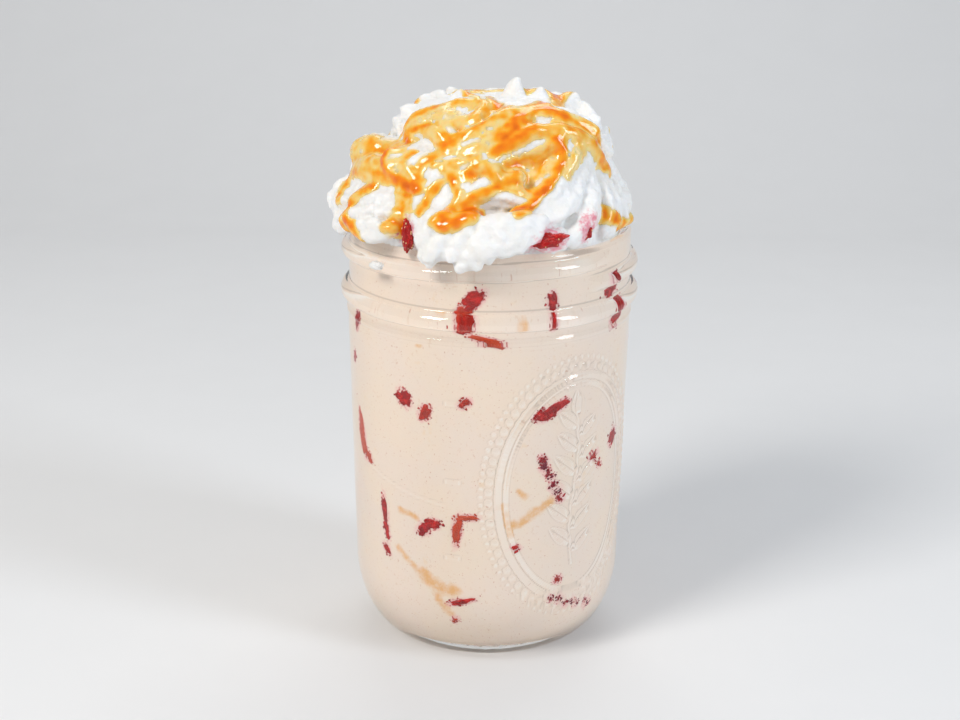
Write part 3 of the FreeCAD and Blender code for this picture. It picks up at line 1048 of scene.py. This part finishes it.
def cream_field():
    field = core_field()
    for rope in with_strokes(FRONT_ROPES) + back_ropes():
        add_rope(field, *rope)
    add_flap(field)
    above_mouth = np.array([0.0, 0.0, JAR_HEIGHT])
    for half_width, root, tip in TIPS:
        add_cone(field, np.array(root) + above_mouth, np.array(tip) + above_mouth, half_width)
    torn = 1 + 1.2 * smoothstep(1.5, -2.5, AXES[2] - JAR_HEIGHT)
    field += 0.30 * grid_noise(3.6, 1) + 0.55 * (np.abs(grid_noise(2.7, 4)) - 0.3)
    field += torn * (0.30 * grid_noise(1.7, 2) + 0.24 * grid_noise(1.1, 3))
    return keep_off_glass(field)


def sample(field, places):
    """The field's values at points, by linear interpolation."""
    t = (places - GRID_LOW) / VOXEL
    base = np.clip(np.floor(t).astype(int), 0, np.array(GRID_SHAPE) - 2)
    t = t - base
    out = np.zeros(len(places))
    for dx, dy, dz in np.ndindex(2, 2, 2):
        weight = np.abs(1 - dx - t[:, 0]) * np.abs(1 - dy - t[:, 1]) * np.abs(1 - dz - t[:, 2])
        out += weight * field[base[:, 0] + dx, base[:, 1] + dy, base[:, 2] + dz]
    return out


def field_mesh(name, field, material, crumb=60):
    """The surface where the field is zero, as a piece, without crumbs of fewer vertices than this."""
    grid = openvdb.FloatGrid(FAR)
    grid.copyFromArray(np.ascontiguousarray(field, dtype=np.float32))
    points, _, quads = grid.convertToPolygons(0.0, 0.0)
    edges = np.concatenate([quads[:, (i, (i + 1) % 4)] for i in range(4)]).astype(int)
    label = np.arange(len(points))
    while True:
        lowest = np.minimum(label[edges[:, 0]], label[edges[:, 1]])
        fresh = label.copy()
        np.minimum.at(fresh, edges[:, 0], lowest)
        np.minimum.at(fresh, edges[:, 1], lowest)
        fresh = fresh[fresh]
        if (fresh == label).all():
            break
        label = fresh
    keep = np.bincount(label, minlength=len(points))[label] >= crumb
    number = np.cumsum(keep) - 1
    faces = number[quads[keep[quads[:, 0]]]][:, ::-1].tolist()
    return make_piece(name, points[keep] * VOXEL + GRID_LOW, faces, material)


def vertex_places(piece):
    places = np.empty(len(piece.data.vertices) * 3)
    piece.data.vertices.foreach_get("co", places)
    return places.reshape(-1, 3) / MM


# ---- caramel sauce

# Ribbons of sauce over the front of the cream: (half width, thickness, start, end, lift, swing)
FRONT_SAUCE = (
    (3.0, 0.9, (-158, 28), (-101, 34), 5, 4),
    (2.4, 0.5, (-151, 28), (-121, 34), 1),
    (4.6, 0.8, (-174, 22), (-143, 24), 1),
    (3.8, 0.6, (-170, 18), (-131, 21), 1),
    (3.2, 0.8, (-172, 15), (-130, 18), 1),
    (2.4, 0.8, (-170, 19), (-162, 9), 0, -2),
    (2.6, 1.3, (-146, 26), (-118, 16), -2),
    (2.8, 0.9, (-149, 27), (-118, 27), 3),
    (3.4, 1.0, (-118, 27), (-57, 36), 2),
    (3.0, 0.7, (-106, 26), (-87, 31)),
    (3.0, 1.1, (-90, 29), (-31, 28), 6),
    (1.6, 0.7, (-56, 34), (-22, 20), 4, 4),
    (3.0, 1.1, (-92, 26), (-16, 17), 9),
    (2.4, 0.7, (-83, 24), (-57, 28)),
    (2.0, 1.1, (-60, 28), (-62, 17), 0, 6),
    (2.0, 1.1, (-61, 18), (-77, 11), -1),
    (2.0, 0.8, (-111, 22), (-98, 24)),
    (2.6, 0.9, (-96, 20), (-83, 18), 3),
    (2.4, 0.9, (-98, 13), (-74, 20)),
    (2.1, 0.9, (-113, 11), (-108, 18), 0, -2),
    (2.4, 1.0, (-106, 21), (-106, 9), 0, 6),
    (3.2, 1.5, (-103, 8), (-94, 11)),
    (3.4, 0.6, (-130, 20), (-125, 6), 0, 5),
    (2.1, 1.0, (-128, 6), (-122, 6)),
    (2.2, 0.9, (-141, 15), (-150, 6), 0, -5),
    (2.4, 0.8, (-133, 24), (-117, 18)),
    (2.4, 0.6, (-118, 24), (-121, 16), 0, 2),
    (2.6, 0.8, (-168, 38), (-102, 35), 1),
    (2.6, 0.9, (-125, 39), (-88, 36)),
    (1.9, 0.8, (-26, 37), (16, 36)),
    (2.4, 1.0, (-150, 5), (-140, 2)),
    (1.8, 0.9, (-158, 5), (-152, 2)),
    (2.8, 1.1, (-33, 7), (-14, 3), -1),
    (2.4, 0.5, (-84, 22), (-68, 16), -2),
    (2.8, 0.4, (-75, 22), (-58, 23), -2),
    (2.8, 0.4, (-126, 31), (-100, 35)),
    (3.4, 0.4, (-148, 30), (-116, 34), 2),
    (2.4, 0.4, (-44, 25), (-52, 19)),
)
# Ribbons over the back: (half width, thickness, points as (angle, height))
BACK_SAUCE = (
    (3.0, 0.9, ((10, 36), (40, 33), (75, 34), (110, 31), (140, 33), (165, 34))),
    (2.8, 0.9, ((2, 27), (20, 25), (45, 28), (75, 24), (100, 27), (130, 23), (160, 26))),
    (2.4, 0.8, ((5, 20), (25, 14), (40, 18), (62, 15), (85, 19), (105, 12), (118, 8))),
    (2.3, 0.9, ((140, 22), (150, 15), (146, 9), (150, 4))),
    (2.2, 0.9, ((60, 24), (66, 17), (60, 11), (64, 7))),
    (2.8, 0.9, ((95, 34), (80, 28), (92, 21), (110, 19))),
    (2.4, 1.0, ((18, 9), (28, 5), (36, 2))),
    (2.4, 0.7, ((125, 28), (135, 20), (165, 18))),
    (3.4, 0.9, ((-30, 36), (20, 38), (90, 37), (150, 37))),
    (3.0, 0.7, ((150, 38.5), (60, 39), (-10, 39.5))),
    (3.2, 0.6, ((130, 34), (90, 31), (60, 33), (30, 30))),
)
SAUCE_CENTRE = np.array([0.5, 0.0, JAR_HEIGHT + 2.0])
SAUCE_REACH = 3.2           # the sauce is worked out this near the cream's surface
NO_SAUCE = -2.6
SAUCE_WIDTH = 0.86          # all the ribbons' widths and thicknesses are scaled by these two
SAUCE_THICKNESS = 0.72
SAUCE_FALL = 3.4            # how steeply it thins out past a ribbon's edge


def blurred(field, passes):
    for _ in range(passes):
        for axis in range(3):
            field = (np.roll(field, 1, axis) + 2 * field + np.roll(field, -1, axis)) / 4
    return field


def sauce_layer(cream):
    """How thick the sauce is over each point near the cream's surface, and how near its edge."""
    near = np.argwhere(np.abs(cream) < SAUCE_REACH)
    places = GRID_LOW + VOXEL * near
    rays = places - SAUCE_CENTRE
    reach = np.linalg.norm(rays, axis=1)
    rays = (rays / reach[:, None]).astype(np.float32)
    thick = np.full(len(near), NO_SAUCE, dtype=np.float32)
    close = np.zeros(len(near), dtype=np.float32)
    wobble = sample(grid_noise(4.0, 5), places)
    for half_width, thickness, points in with_strokes(FRONT_SAUCE) + list(BACK_SAUCE):
        path = smooth_path([on_mound(a, h) for a, h in points], 0.8) - SAUCE_CENTRE
        path = path / np.linalg.norm(path, axis=1)[:, None]
        middle = unit(path.mean(axis=0))
        widest = np.arccos(np.clip((path @ middle).min(), -1, 1)) + 0.2
        chosen = np.nonzero(rays @ middle.astype(np.float32) > math.cos(min(widest, 3.0)))[0]
        nearest = (rays[chosen] @ path.T.astype(np.float32)).max(axis=1)
        gap = np.arccos(np.clip(nearest, -1, 1)) * reach[chosen]
        width = SAUCE_WIDTH * half_width * (1 + 0.4 * wobble[chosen])
        share = gap / width
        crown = (1 - share ** 2) * (1 + 0.5 * wobble[chosen])
        layer = SAUCE_THICKNESS * thickness * np.where(share < 1, crown, SAUCE_FALL * (1 - share))
        thick[chosen] = np.maximum(thick[chosen], layer)
        close[chosen] = np.maximum(close[chosen], np.clip(1.45 - share, 0, 1))
    layer_grid = np.full(GRID_SHAPE, NO_SAUCE, dtype=np.float32)
    close_grid = np.zeros(GRID_SHAPE, dtype=np.float32)
    at = tuple(near.T)
    layer_grid[at] = thick
    close_grid[at] = close
    return layer_grid, close_grid


def build_cream_and_sauce(cream_stuff, sauce_stuff):
    cream = cream_field()
    layer, close = sauce_layer(cream)
    soft = blurred(cream, 4)
    sauce = np.maximum(soft - layer, -cream - 0.4)
    sauce = np.maximum(sauce, keep_off_glass(np.full(GRID_SHAPE, -FAR, dtype=np.float32)))
    cream_piece = field_mesh("whipped_cream_mound", cream, cream_stuff)
    places = vertex_places(cream_piece)
    add_values(cream_piece, "sauce_near", sample(close, places))
    add_values(cream_piece, "berry_near", near_berries(places))
    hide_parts("whipped_cream")
    sauce_piece = field_mesh("caramel_ribbons", sauce, sauce_stuff, crumb=40)
    add_values(sauce_piece, "depth", np.clip(sample(cream, vertex_places(sauce_piece)), 0, 4))
    return cream_piece, sauce_piece


# ---- berries at the rim

BERRY_NODES = ("left", "front", "right")


def near_berries(places):
    close = np.zeros(len(places))
    for name in BERRY_NODES:
        low, high = node_box("strawberry_piece_" + name)
        middle, half = (low + high) / 2, (high - low) / 2
        reach = np.linalg.norm((places - middle) / (half + 0.8), axis=1)
        close = np.maximum(close, np.clip(1.75 - reach, 0, 1))
    return close


def ball():
    """Points on a ball of radius one, and its faces."""
    bpy.ops.mesh.primitive_ico_sphere_add(subdivisions=5, radius=1)
    made = bpy.context.object
    places = np.empty(len(made.data.vertices) * 3)
    made.data.vertices.foreach_get("co", places)
    faces = [tuple(p.vertices) for p in made.data.polygons]
    bpy.data.objects.remove(made)
    return places.reshape(-1, 3), faces


# How each piece is torn: (share of its solid's size, arms as (X, Y, Z, length), how many seeds,
# and how far it is sunk in the cream)
BERRY_SHAPES = {
    "left": ((0.62, 0.9, 1.0), (), 16, 0.8),
    "front": ((0.72, 0.8, 0.62),
              ((-0.85, -0.1, 0.5, 0.75), (0.9, -0.1, 0.42, 0.6), (0.0, -0.3, 1.0, 0.4)), 5, 0.2),
    "right": ((0.45, 0.5, 0.6), ((0.2, -0.3, 1.0, 0.3),), 3, 2.5),
}
SEED_RINGS, SEED_COLUMNS = 5, 8
SEED_THICK, SEED_WIDE, SEED_LONG = 0.12, 0.18, 0.32


def build_berry(name, material, seed_stuff):
    """A torn piece of berry in the place of its solid, with the seeds that still show."""
    low, high = node_box("strawberry_piece_" + name)
    shares, arms, seed_count, sink = BERRY_SHAPES[name]
    half = (high - low) / 2 * np.array(shares)
    middle = (low + high) / 2
    middle = middle - unit(middle * (1, 1, 0)) * sink
    places, faces = ball()
    square = np.sign(places) * np.abs(places) ** 0.8
    lump = 1 + 0.09 * np.sin(places @ (5, 3, 4) + 1) + 0.06 * np.sin(places @ (-9, 8, 11))
    lump = lump + 0.04 * np.sin(places @ (15, 17, -12))
    for x, y, z, reach in arms:
        lump = lump + reach * np.clip(places @ unit(np.array([x, y, z])), 0, 1) ** 14
    verts = middle + square * lump[:, None] * half
    piece = make_piece("berry_" + name, verts, faces, material)
    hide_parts("strawberry_piece_" + name)
    seeds, seed_faces = [], []
    for i in range(seed_count):
        across = 1.6 * (i + 0.5) / seed_count - 0.8
        turn = math.radians(-90) + 1.3 * math.sin(i * 2.4)
        ring = math.sqrt(1 - across * across)
        way = np.array([ring * math.cos(turn), ring * math.sin(turn), across])
        nearest = np.argmax(places @ way)
        aside = unit(np.cross(way, (0, 0, 1)))
        along = np.cross(way, aside)
        first = len(seeds)
        for slant in np.linspace(0, math.pi, SEED_RINGS):
            for spin in np.linspace(0, 2 * math.pi, SEED_COLUMNS, endpoint=False):
                seeds.append(verts[nearest] + way * SEED_THICK * math.cos(slant)
                             + aside * SEED_WIDE * math.sin(slant) * math.cos(spin)
                             + along * SEED_LONG * math.sin(slant) * math.sin(spin))
        seed_faces += grid_faces(SEED_RINGS, SEED_COLUMNS, first)
    grains = make_piece("berry_seeds_" + name, seeds, seed_faces, seed_stuff)
    weld(grains)
    return piece


SMEAR_ANGLE = -137.0
SMEAR_HEIGHT = JAR_HEIGHT - 5.6


def build_smear(material):
    """The small dab of cream stuck to the thread at the front left."""
    places, faces = ball()
    lump = 1 + 0.16 * np.sin(places @ (6, 3, 4) + 1) + 0.10 * np.sin(places @ (-9, 12, 11))
    u, v, w = places[:, 0] * 2.5 * lump, places[:, 1] * 0.9 * lump, places[:, 2] * 1.0 * lump
    angle = SMEAR_ANGLE + np.degrees(u / NECK_RADIUS)
    verts = around(angle, SMEAR_HEIGHT + w + 0.1 * u, NECK_RADIUS + THREAD_PROJECTION * 0.75 + v)
    piece = make_piece("cream_smear", verts, faces, material)
    add_values(piece, "sauce_near", np.zeros(len(verts)))
    add_values(piece, "berry_near", np.zeros(len(verts)))
    return piece


# ---- stage, light and camera

STAGE_FRONT = -900.0
STAGE_HALF_WIDTH = 1400.0
STAGE_HEIGHT = 1400.0
CURVE_START = 500.0
CURVE_RADIUS = 400.0


def build_stage():
    """A pale floor that curves up behind the object."""
    n = Nodes("studio_floor")
    grain = n.noise(30.0, detail=2.0)
    base = n.mix(grain, (0.80, 0.80, 0.80), (0.82, 0.82, 0.82))
    matt = n.principled(Base_Color=base, Roughness=0.75, Specular_IOR_Level=0.2)
    rows = [(STAGE_FRONT, 0.0), (CURVE_START, 0.0)]
    for turn in np.linspace(0, math.pi / 2, 14):
        rows.append((CURVE_START + CURVE_RADIUS * math.sin(turn), CURVE_RADIUS * (1 - math.cos(turn))))
    rows.append((CURVE_START + CURVE_RADIUS, STAGE_HEIGHT))
    verts = [(x, y, z) for y, z in rows for x in (-STAGE_HALF_WIDTH, STAGE_HALF_WIDTH)]
    faces = [(2 * i, 2 * i + 1, 2 * i + 3, 2 * i + 2) for i in range(len(rows) - 1)]
    floor = make_object("studio_floor", verts, faces, n.finish(matt))


def add_lamp(name, place, size, power, colour, target):
    data = bpy.data.lights.new(name, "AREA")
    data.shape = "RECTANGLE"
    data.size, data.size_y = size
    data.energy = power
    data.color = colour
    lamp = bpy.data.objects.new(name, data)
    lamp.location = place
    lamp.rotation_euler = (Vector(target) - Vector(place)).to_track_quat("-Z", "Y").to_euler()
    bpy.context.scene.collection.objects.link(lamp)


def build_light():
    world = bpy.data.worlds.new("studio")
    bpy.context.scene.world = world
    world.use_nodes = True
    tree = world.node_tree
    background = tree.nodes["Background"]
    background.inputs["Color"].default_value = (0.93, 0.96, 1.0, 1.0)
    background.inputs["Strength"].default_value = 0.33
    middle = (0.0, 0.0, 0.09)
    add_lamp("key_left", (-0.55, -0.50, 0.70), (0.28, 0.36), 5.6, (1.0, 0.975, 0.94), middle)
    add_lamp("fill_right", (0.75, -0.40, 0.45), (0.22, 0.6), 3.8, (0.84, 0.91, 1.0), middle)
    add_lamp("top_back", (0.1, 0.5, 0.8), (0.6, 0.3), 1.6, (1.0, 1.0, 1.0), middle)


CAMERA_PLACE = np.array([-2.5, -475.8, 234.3])
CAMERA_TILT = 17.84
CAMERA_ROLL = 0.476
CAMERA_LENS = 63.94


def build_camera():
    data = bpy.data.cameras.new("camera")
    data.lens = CAMERA_LENS
    data.sensor_width = 36.0
    camera = bpy.data.objects.new("camera", data)
    camera.location = (CAMERA_PLACE * MM).tolist()
    camera.rotation_mode = "QUATERNION"
    aim = Quaternion((1, 0, 0), math.radians(90 - CAMERA_TILT))
    roll = Quaternion((0, 0, 1), math.radians(CAMERA_ROLL))
    camera.rotation_quaternion = aim @ roll
    data.clip_start = 0.01
    data.clip_end = 20.0
    bpy.context.scene.collection.objects.link(camera)
    bpy.context.scene.camera = camera


build_camera()
build_light()
build_stage()
bpy.context.scene.view_settings.view_transform = "Standard"

glass_stuff = glass_material()
drink_stuff = smoothie_material()
cream_stuff = cream_material()
caramel_stuff = caramel_material()
rim_berry_stuff = berry_material("strawberry_rim", (0.38, 0.002, 0.002), (0.62, 0.014, 0.01), 0.5)
bit_stuff = berry_material("strawberry_bit", (0.30, 0.001, 0.001), (0.60, 0.008, 0.005), 0.12)
seed_stuff = seed_material()

bits = all_bits()
build_jar(glass_stuff)
build_drink(drink_stuff, bits)
build_bits(bit_stuff, bits)
build_cream_and_sauce(cream_stuff, caramel_stuff)
for berry in BERRY_NODES:
    build_berry(berry, rim_berry_stuff, seed_stuff)
build_smear(cream_stuff)
